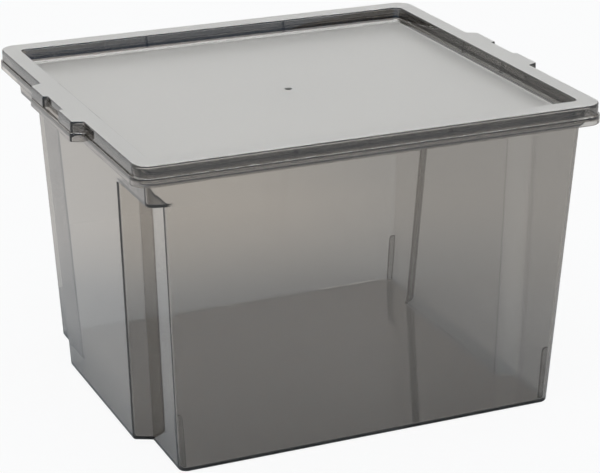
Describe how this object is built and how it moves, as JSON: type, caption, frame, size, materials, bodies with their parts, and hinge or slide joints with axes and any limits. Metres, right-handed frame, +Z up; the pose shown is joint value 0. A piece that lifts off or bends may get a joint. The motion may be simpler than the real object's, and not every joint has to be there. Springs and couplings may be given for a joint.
{
  "type": "portable file box",
  "caption": "Stackable smoke-clear plastic file box: a drafted tub with stepped ends and grip rim, and a drop-on lid with a sunken stacking well, handle tabs and finger notches.",
  "frame": {"origin": "on the ground under the centre of the box, at the underside of the tub's floor", "axes": "+X along the box towards the end whose middle panel is sunken, +Y from front to back, +Z up out of the box"},
  "size_m": [0.4268, 0.3704, 0.275],
  "materials": {
    "smoke_plastic": "clear smoke-tinted polystyrene, mirror gloss",
    "smoke_plastic_lid": "clear smoke-tinted polystyrene, mirror gloss"
  },
  "bodies": {
    "tub": {"tub": "smoke_plastic"},
    "lid": {"lid": "smoke_plastic_lid"}
  },
  "joints": [
    {"name": "lid_lift", "type": "slide", "parent": "tub", "child": "lid", "axis": [0, 0, 1], "range_m": [0, 0.1]}
  ]
}
